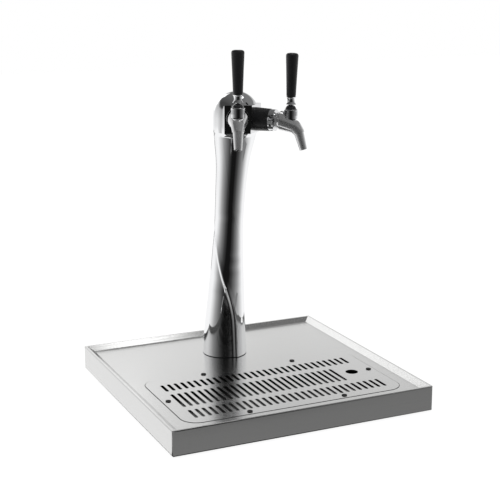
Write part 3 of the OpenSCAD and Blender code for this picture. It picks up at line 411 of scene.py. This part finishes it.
def milky_hose(finishes):
    """Milky plastic tube with faint draw marks along it."""
    base = finishes.hose_colour
    material, tree, shader = new_finish("milky_hose", base, metallic=0, roughness=0.35)
    marks = stretched_noise(tree, scale=(420, 420, 12))
    tree.links.new(spread(tree, marks, low=0.28, high=0.45), shader.inputs["Roughness"])
    tint(tree, marks, shader, base, change=0.05)
    relief(tree, marks, shader, depth=0.00002)
    shader.inputs["Subsurface Weight"].default_value = 0.2
    shader.inputs["Subsurface Scale"].default_value = 0.004
    return material


FINISHES = {
    "mirror_chrome": mirror_chrome,
    "brushed_sheet": brushed_sheet,
    # The basin under the grille is the tray's sheet darkened to 0.35: painted shade of the recess under the
    # grille
    "basin_sheet_painted_shade": lambda finishes: brushed_sheet(finishes, "basin_sheet_painted_shade", 0.35),
    "slotted_sheet": slotted_sheet,
    "polished_casting": polished_casting,
    "bright_plate": bright_plate,
    "moulded_resin": moulded_resin,
    "gloss_black": gloss_black,
    "black_rubber": black_rubber,
    "milky_hose": milky_hose,
}


def finish(name):
    """The named finish, made on its first use."""
    found = bpy.data.materials.get(name)
    return found or FINISHES[name](bpy.context.scene.tower_finishes)


def dress(node, name):
    """Gives a CAD node a finish."""
    mesh = frame["nodes"][node].data
    mesh.materials.clear()
    mesh.materials.append(finish(name))


# Pieces


def new_piece(name, shape, body, material):
    """An object at the origin from a bmesh, riding on a body."""
    mesh = bpy.data.meshes.new(name)
    shape.to_mesh(mesh)
    shape.free()
    if "custom_normal" in mesh.attributes:
        mesh.attributes.remove(mesh.attributes["custom_normal"])
    mesh.materials.clear()
    mesh.materials.append(finish(material))
    piece = bpy.data.objects.new(name, mesh)
    bpy.context.scene.collection.objects.link(piece)
    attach(piece, body)
    return piece


def shade(shape, crease):
    """Smooth faces, with sharp edges where two faces meet at more than the crease angle."""
    for face in shape.faces:
        face.smooth = True
        face.material_index = 0
    for edge in shape.edges:
        edge.smooth = edge.is_manifold and edge.calc_face_angle(0) < crease


def merged_copy(node):
    """A CAD node's shape as a bmesh with its doubles merged."""
    shape = bmesh.new()
    shape.from_mesh(frame["nodes"][node].data)
    bmesh.ops.remove_doubles(shape, verts=shape.verts, dist=WELD)
    return shape


def tap_place(side):
    """Turns tap coordinates, with the ball's centre as origin, -Y outwards and Z up, to the frame's."""
    sizes = bpy.context.scene.tower_sizes
    joint = JOINTS[f"{side}_lever_pull"]
    rise = getattr(sizes, f"{side}_rise")
    turn = math.atan2(joint["axis"][1], joint["axis"][0])
    return (
        Matrix.Translation(joint["pos_m"])
        @ Matrix.Rotation(turn, 4, "Z")
        @ Matrix.Rotation(-rise, 4, "X")
    )


def picked(made, kind):
    """The items of one kind among those that an operation made."""
    return [item for item in made if isinstance(item, kind)]


def swept_rings(shape, rings, sides):
    """Extrudes a ring through a list of (height, width, depth), and returns the end rings' edges."""
    start = bmesh.ops.create_circle(shape, cap_ends=False, segments=sides, radius=0.5)["verts"]
    edges = list({edge for vert in start for edge in vert.link_edges})
    first = list(edges)
    height, width, depth = rings[0]
    bmesh.ops.scale(shape, vec=(width, depth, 1), verts=start)
    bmesh.ops.translate(shape, vec=(0, 0, height), verts=start)
    for next_height, next_width, next_depth in rings[1:]:
        made = bmesh.ops.extrude_edge_only(shape, edges=edges)["geom"]
        verts = picked(made, bmesh.types.BMVert)
        edges = picked(made, bmesh.types.BMEdge)
        bmesh.ops.scale(shape, vec=(next_width / width, next_depth / depth, 1), verts=verts)
        bmesh.ops.translate(shape, vec=(0, 0, next_height - height), verts=verts)
        height, width, depth = next_height, next_width, next_depth
    return first, edges


def grip_rings(sizes):
    """Height, width and depth of each ring of a handle, from its foot up."""
    foot, top = sizes.grip_foot_width, sizes.grip_top_width
    start = GRIP_FOOT_SHARES[-1][0]
    shaft = [
        (start + GRIP_SHAFT_SHARE * ring / GRIP_SHAFT_RINGS, 1) for ring in range(1, GRIP_SHAFT_RINGS + 1)
    ]
    rings = []
    for up, close in (*GRIP_FOOT_SHARES, *shaft, *GRIP_TOP_SHARES):
        width = close * (foot + (top - foot) * up**GRIP_TAPER_POWER)
        rings.append((sizes.grip_length * up, width, width * sizes.grip_depth_share))
    return rings


def grip_shape(sizes):
    """A handle with a rounded top and a blind bore in its foot, standing on the origin."""
    shape = bmesh.new()
    rings = grip_rings(sizes)
    first, last = swept_rings(shape, rings, GRIP_SIDES)
    bmesh.ops.holes_fill(shape, edges=last, sides=0)
    inner = bmesh.ops.extrude_edge_only(shape, edges=first)["geom"]
    to_bore = (sizes.grip_bore / rings[0][1], sizes.grip_bore / rings[0][2], 1)
    bmesh.ops.scale(shape, verts=picked(inner, bmesh.types.BMVert), vec=to_bore)
    bore = bmesh.ops.extrude_edge_only(shape, edges=picked(inner, bmesh.types.BMEdge))["geom"]
    up = (0, 0, sizes.grip_length * GRIP_BORE_DEPTH_SHARE)
    bmesh.ops.translate(shape, vec=up, verts=picked(bore, bmesh.types.BMVert))
    bmesh.ops.holes_fill(shape, edges=picked(bore, bmesh.types.BMEdge), sides=0)
    bmesh.ops.recalc_face_normals(shape, faces=shape.faces)
    shade(shape, GRIP_CREASE)
    return shape


class TOWER_OT_finish_tray(bpy.types.Operator):
    """Brush the tray, basin and grille, and finish the rubber and plated parts under them"""

    bl_idname = "tower.finish_tray"
    bl_label = "Finish Tray"

    def execute(self, context):
        dress("tray_shell", "brushed_sheet")
        dress("grille", "slotted_sheet")
        for node in BASIN_NODES:
            dress(node, "basin_sheet_painted_shade")
        for node in PLATED_NODES:
            dress(node, "bright_plate")
        for node in RUBBER_NODES:
            dress(node, "black_rubber")
        return {"FINISHED"}


class TOWER_OT_build_column(bpy.types.Operator):
    """Cast and chrome the twisted column, and finish its cap"""

    bl_idname = "tower.build_column"
    bl_label = "Build Column"

    def execute(self, context):
        shape = merged_copy("column")
        bmesh.ops.join_triangles(
            shape, faces=shape.faces, angle_face_threshold=JOINED_BEND, angle_shape_threshold=JOINED_SKEW
        )
        shade(shape, COLUMN_CREASE)
        column = new_piece("chromed_column", shape, "tower", "mirror_chrome")
        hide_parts("column")
        dress("dome_cap", "mirror_chrome")
        return {"FINISHED"}


class TOWER_OT_build_taps(bpy.types.Operator):
    """Cast the two tap bodies and finish the taps' other parts"""

    bl_idname = "tower.build_taps"
    bl_label = "Build Taps"

    def execute(self, context):
        for side in SIDES:
            shape = merged_copy(f"{side}_tap_body")
            shade(shape, CASTING_CREASE)
            casting = new_piece(f"{side}_tap_casting", shape, "tower", "polished_casting")
            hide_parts(f"{side}_tap_body")
            for node in TURNED_STEEL_NODES:
                dress(f"{side}_{node}", "polished_casting")
            for node in CHROME_NODES:
                dress(f"{side}_{node}", "mirror_chrome")
            dress(f"{side}_lever_ball", "gloss_black")
            dress(f"{side}_collar", "moulded_resin")
            for node in SEAL_NODES:
                dress(f"{side}_{node}", "black_rubber")
        return {"FINISHED"}


class TOWER_OT_build_grips(bpy.types.Operator):
    """Mould the two black handles with their rounded tops and bored feet"""

    bl_idname = "tower.build_grips"
    bl_label = "Build Grips"

    def execute(self, context):
        sizes = context.scene.tower_sizes
        lift = Matrix.Translation((0, 0, sizes.grip_lift))
        for side in SIDES:
            shape = grip_shape(sizes)
            bmesh.ops.transform(shape, matrix=tap_place(side) @ lift, verts=shape.verts)
            grip = new_piece(f"{side}_grip", shape, f"{side}_tap_lever", "moulded_resin")
            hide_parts(f"{side}_handle")
        return {"FINISHED"}


class TOWER_OT_build_lines(bpy.types.Operator):
    """Smooth the two beer lines inside the column and finish their elbows"""

    bl_idname = "tower.build_lines"
    bl_label = "Build Beer Lines"

    def execute(self, context):
        for side in SIDES:
            shape = merged_copy(f"{side}_beer_line")
            shade(shape, LINE_CREASE)
            line = new_piece(f"{side}_inner_line", shape, "tower", "milky_hose")
            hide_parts(f"{side}_beer_line")
            for node in FITTING_NODES:
                dress(f"{side}_{node}", "bright_plate")
        return {"FINISHED"}


# Studio


def glow(name, level_of, strength=1.0):
    """A panel's material that glows at the level that a function's nodes give."""
    material = bpy.data.materials.new(name)
    material.use_nodes = True
    tree = material.node_tree
    tree.nodes.clear()
    output = tree.nodes.new("ShaderNodeOutputMaterial")
    light = tree.nodes.new("ShaderNodeEmission")
    light.inputs["Strength"].default_value = strength
    tree.links.new(light.outputs["Emission"], output.inputs["Surface"])
    level_of(tree, light)
    return material


def whiter_low_down(tree, position, studio):
    """Strength that falls high up on the wall, and less near its middle in front and behind."""
    split = tree.nodes.new("ShaderNodeSeparateXYZ")
    tree.links.new(position, split.inputs["Vector"])
    high = spread(tree, split.outputs["Z"], low=0, high=0.5, start=0.1, end=studio.wall_height)
    beside = combine(tree, "ABSOLUTE", combine(tree, "SUBTRACT", split.outputs["X"], studio.wall_middle))
    grey = combine(tree, "MULTIPLY", high, spread(tree, beside, low=0.1, high=1, start=0.12, end=0.45))
    return combine(tree, "SUBTRACT", 1, grey)


def round_the_gap(studio, centre, wall):
    """Levels that rise from the dark gap in front to white behind, by the turn round a centre.

    The wall is greyer high up as well, mostly at its sides.
    """

    def level_of(tree, light):
        position = tree.nodes.new("ShaderNodeTexCoord").outputs["Object"]
        shift = tree.nodes.new("ShaderNodeVectorMath")
        shift.operation = "SUBTRACT"
        shift.inputs[1].default_value = (*centre, 0)
        turn = tree.nodes.new("ShaderNodeMapping")
        turn.inputs["Rotation"].default_value = (0, 0, math.pi / 2 + studio.gap_azimuth)
        radial = tree.nodes.new("ShaderNodeTexGradient")
        radial.gradient_type = "RADIAL"
        ramp = tree.nodes.new("ShaderNodeValToRGB")
        stops = (*[(-angle, level) for angle, level in reversed(GAP_LEVELS)], *GAP_LEVELS)
        elements = ramp.color_ramp.elements
        while len(elements) < len(stops):
            elements.new(1)
        for element, (angle, level) in zip(elements, stops):
            element.position = 0.5 + angle / 360
            element.color = (level, level, level, 1)
        tree.links.new(position, shift.inputs[0])
        tree.links.new(shift.outputs["Vector"], turn.inputs["Vector"])
        tree.links.new(turn.outputs["Vector"], radial.inputs["Vector"])
        tree.links.new(radial.outputs["Fac"], ramp.inputs["Fac"])
        tree.links.new(ramp.outputs["Color"], light.inputs["Color"])
        if wall:
            tree.links.new(whiter_low_down(tree, position, studio), light.inputs["Strength"])

    return level_of


def even_level(level):
    """One level all over."""

    def level_of(tree, light):
        light.inputs["Color"].default_value = (level, level, level, 1)

    return level_of


def ceiling_level(studio):
    """A dark ceiling, lighter to the right and at its rim, with a white window and a white patch behind."""

    def level_of(tree, light):
        reach = studio.ceiling_radius
        place = tree.nodes.new("ShaderNodeTexCoord")
        split = tree.nodes.new("ShaderNodeSeparateXYZ")
        far = tree.nodes.new("ShaderNodeVectorMath")
        far.operation = "LENGTH"
        window = tree.nodes.new("ShaderNodeVectorMath")
        window.operation = "DISTANCE"
        window.inputs[1].default_value = (*studio.window_place, 0)
        tree.links.new(place.outputs["Object"], split.inputs["Vector"])
        tree.links.new(place.outputs["Object"], far.inputs[0])
        tree.links.new(place.outputs["Object"], window.inputs[0])
        base = spread(tree, split.outputs["X"], low=0.055, high=0.2, start=-0.7, end=0.6)
        rim = spread(tree, far.outputs["Value"], low=0, high=0.4, start=reach * 0.7, end=reach)
        behind = spread(tree, split.outputs["Y"], low=0, high=1, start=reach * 0.47, end=reach * 0.52)
        beside = combine(tree, "ABSOLUTE", split.outputs["X"])
        middle = spread(tree, beside, low=1.4, high=0, start=0.14, end=0.2)
        back = combine(tree, "MULTIPLY", behind, middle)
        edge, distance = studio.window_radius, window.outputs["Value"]
        bright = spread(tree, distance, low=2.2, high=0, start=edge * 0.8, end=edge)
        level = base
        for other in (rim, back, bright):
            level = combine(tree, "MAXIMUM", level, other)
        tree.links.new(level, light.inputs["Color"])

    return level_of


def stage_piece(name, shape, material):
    """A part of the studio from a bmesh."""
    mesh = bpy.data.meshes.new(name)
    shape.to_mesh(mesh)
    shape.free()
    mesh.materials.append(material)
    piece = bpy.data.objects.new(name, mesh)
    bpy.context.scene.collection.objects.link(piece)
    return piece


def mirrored_only(piece):
    """Shows a studio panel to mirror rays alone, so that it darkens metal and hides nothing."""
    piece.visible_camera = False
    piece.visible_diffuse = False
    piece.visible_shadow = False
    piece.visible_transmission = False
    piece.visible_volume_scatter = False


def mirror_panel(name, shape, level_of, strength=1.0):
    """A glowing studio panel that only mirror rays see."""
    panel = stage_piece(name, shape, glow(name, level_of, strength))
    mirrored_only(panel)
    return panel


def flat_sheet(width, depth, middle):
    """A flat rectangle round a point."""
    shape = bmesh.new()
    bmesh.ops.create_grid(shape, x_segments=1, y_segments=1, size=0.5)
    bmesh.ops.scale(shape, vec=(width, depth, 1), verts=shape.verts)
    bmesh.ops.translate(shape, vec=middle, verts=shape.verts)
    return shape


def upright_sheet(width, height, stand):
    """A rectangle that faces along Y, put in its place by a matrix."""
    shape = flat_sheet(width, height, (0, 0, 0))
    bmesh.ops.transform(shape, matrix=stand @ Matrix.Rotation(math.pi / 2, 4, "X"), verts=shape.verts)
    return shape


def flat_disc(radius, sides, middle):
    """A flat disc round a point."""
    shape = bmesh.new()
    bmesh.ops.create_circle(shape, cap_ends=True, segments=sides, radius=radius)
    bmesh.ops.translate(shape, vec=middle, verts=shape.verts)
    return shape


def seen_or_mirrored(tree):
    """1 for rays from the camera, from a mirror or through glass, else 0."""
    path = tree.nodes.new("ShaderNodeLightPath")
    either = combine(tree, "MAXIMUM", path.outputs["Is Camera Ray"], path.outputs["Is Glossy Ray"])
    return combine(tree, "MAXIMUM", either, path.outputs["Is Transmission Ray"])


class TOWER_OT_build_studio(bpy.types.Operator):
    """Set up the camera, the pale floor, the sky, the lamps and the panels that the metal mirrors"""

    bl_idname = "tower.build_studio"
    bl_label = "Build Studio"

    def execute(self, context):
        studio = context.scene.tower_studio
        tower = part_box("column_gasket")
        centre = ((tower[0].x + tower[1].x) / 2, (tower[0].y + tower[1].y) / 2)
        self.camera(context, studio)
        self.floor(studio)
        self.wall(studio, centre)
        self.cloths(studio, centre)
        self.strips(studio, centre)
        self.ceiling(studio, centre)
        self.sky(context, studio)
        self.lamp("key_lamp", studio, studio.key_energy, studio.key_place)
        self.lamp("fill_lamp", studio, studio.fill_energy, studio.fill_place)
        context.scene.view_settings.view_transform = "Standard"
        return {"FINISHED"}

    def camera(self, context, studio):
        """The camera at the photograph's place."""
        data = bpy.data.cameras.new("camera")
        data.lens = studio.lens
        data.sensor_width = studio.sensor_width
        data.clip_start = studio.clip_start
        data.clip_end = studio.clip_end
        camera = bpy.data.objects.new("camera", data)
        camera.location = studio.camera_place
        camera.rotation_euler = (math.pi / 2 - studio.camera_elevation, 0, studio.camera_azimuth)
        context.scene.collection.objects.link(camera)
        context.scene.camera = camera

    def floor(self, studio):
        """A wide pale floor that keeps the object's shadow."""
        shape = bmesh.new()
        bmesh.ops.create_grid(shape, x_segments=1, y_segments=1, size=studio.floor_size)
        material = bpy.data.materials.new("pale_floor")
        material.use_nodes = True
        tree = material.node_tree
        tree.nodes.clear()
        output = tree.nodes.new("ShaderNodeOutputMaterial")
        matt = tree.nodes.new("ShaderNodeBsdfDiffuse")
        matt.inputs["Color"].default_value = studio.floor_colour
        white = tree.nodes.new("ShaderNodeEmission")
        white.inputs["Color"].default_value = (1, 1, 1, 1)
        white.inputs["Strength"].default_value = studio.floor_glow
        blend = tree.nodes.new("ShaderNodeMixShader")
        amount = combine(tree, "MULTIPLY", seen_or_mirrored(tree), studio.floor_glow_share)
        tree.links.new(amount, blend.inputs["Fac"])
        tree.links.new(matt.outputs["BSDF"], blend.inputs[1])
        tree.links.new(white.outputs["Emission"], blend.inputs[2])
        tree.links.new(blend.outputs["Shader"], output.inputs["Surface"])
        stage_piece("floor", shape, material)

    def wall(self, studio, centre):
        """The round wall with the dark gap."""
        shape = bmesh.new()
        made = bmesh.ops.create_circle(shape, cap_ends=False, segments=WALL_SIDES, radius=studio.wall_radius)
        edges = list({edge for vert in made["verts"] for edge in vert.link_edges})
        made = bmesh.ops.extrude_edge_only(shape, edges=edges)["geom"]
        up = (0, 0, studio.wall_height)
        bmesh.ops.translate(shape, vec=up, verts=picked(made, bmesh.types.BMVert))
        bmesh.ops.translate(shape, vec=(*centre, 0), verts=shape.verts)
        mirror_panel("studio_wall", shape, round_the_gap(studio, centre, True))

    def cloths(self, studio, centre):
        """The cloths on the floor: all round, in front of the tray and on its left."""
        depth, step = studio.cloth_depth, studio.cloth_step
        far = flat_disc(studio.wall_radius, WALL_SIDES, (*centre, step))
        mirror_panel("far_cloth", far, round_the_gap(studio, centre, False))
        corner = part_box("tray_shell")[0]
        middle = (studio.front_cloth_shift, corner.y - depth / 2, 2 * step)
        near = flat_sheet(studio.front_cloth_width, depth, middle)
        mirror_panel("near_cloth", near, even_level(studio.cloth_level))
        middle = (corner.x - depth / 2, studio.side_cloth_shift, 3 * step)
        side = flat_sheet(depth, studio.side_cloth_length, middle)
        mirror_panel("side_cloth", side, even_level(1))

    def strips(self, studio, centre):
        """The upright strips in front of the wall: a grey one behind on the left, a white one behind."""
        reach = studio.wall_radius * studio.strip_reach_share
        turn = Matrix.Translation((*centre, 0)) @ Matrix.Rotation(studio.strip_azimuth, 4, "Z")
        stand = turn @ Matrix.Translation((0, -reach, studio.strip_height / 2))
        grey = upright_sheet(studio.strip_width, studio.strip_height, stand)
        mirror_panel("grey_strip", grey, even_level(studio.strip_level))
        stand = Matrix.Translation((0, reach + centre[1], studio.white_middle))
        white = upright_sheet(studio.white_width, studio.white_height, stand)
        mirror_panel("white_strip", white, even_level(1), studio.white_strength)

    def ceiling(self, studio, centre):
        """The dark ceiling with its window."""
        shape = flat_disc(studio.ceiling_radius, CEILING_SIDES, (*centre, 0))
        ceiling = mirror_panel("ceiling", shape, ceiling_level(studio))
        ceiling.location.z = studio.ceiling_height

    def sky(self, context, studio):
        """Even light from all round, and white where it is seen or mirrored."""
        world = bpy.data.worlds.new("studio_sky")
        world.use_nodes = True
        tree = world.node_tree
        tree.nodes.clear()
        output = tree.nodes.new("ShaderNodeOutputWorld")
        sky = tree.nodes.new("ShaderNodeBackground")
        sky.inputs["Color"].default_value = (1, 1, 1, 1)
        level = spread(tree, seen_or_mirrored(tree), low=studio.sky_level, high=1, start=0, end=1)
        tree.links.new(level, sky.inputs["Strength"])
        tree.links.new(sky.outputs["Background"], output.inputs["Surface"])
        context.scene.world = world

    def lamp(self, name, studio, energy, hang):
        """A large soft lamp that looks at the tower."""
        data = bpy.data.lights.new(name, "AREA")
        data.energy = energy
        data.size = studio.lamp_size
        lamp = bpy.data.objects.new(name, data)
        lamp.location = hang
        aim = Vector((0, 0, studio.lamp_aim)) - Vector(hang)
        lamp.rotation_euler = aim.to_track_quat("-Z", "Y").to_euler()
        lamp.visible_glossy = False
        bpy.context.scene.collection.objects.link(lamp)


STEPS = (
    TOWER_OT_finish_tray,
    TOWER_OT_build_column,
    TOWER_OT_build_taps,
    TOWER_OT_build_grips,
    TOWER_OT_build_lines,
    TOWER_OT_build_studio,
)


class TOWER_PT_sidebar(bpy.types.Panel):
    """Lists the steps in the order in which they are run"""

    bl_idname = "TOWER_PT_sidebar"
    bl_label = "Draft Beer Tower"
    bl_space_type = "VIEW_3D"
    bl_region_type = "UI"
    bl_category = "Beer Tower"

    def draw(self, context):
        for step in STEPS:
            self.layout.operator(step.bl_idname)


GROUPS = {"tower_sizes": TowerSizes, "tower_finishes": TowerFinishes, "tower_studio": TowerStudio}


def register():
    for group in GROUPS.values():
        bpy.utils.register_class(group)
    for name, group in GROUPS.items():
        setattr(bpy.types.Scene, name, PointerProperty(type=group))
    for step in (*STEPS, TOWER_PT_sidebar):
        bpy.utils.register_class(step)


def unregister():
    for step in reversed((*STEPS, TOWER_PT_sidebar)):
        bpy.utils.unregister_class(step)
    for name in GROUPS:
        delattr(bpy.types.Scene, name)
    for group in reversed(GROUPS.values()):
        bpy.utils.unregister_class(group)


def main():
    register()
    for step in STEPS:
        group, action = step.bl_idname.split(".")
        getattr(getattr(bpy.ops, group), action)()


if __name__ == "__main__":
    main()
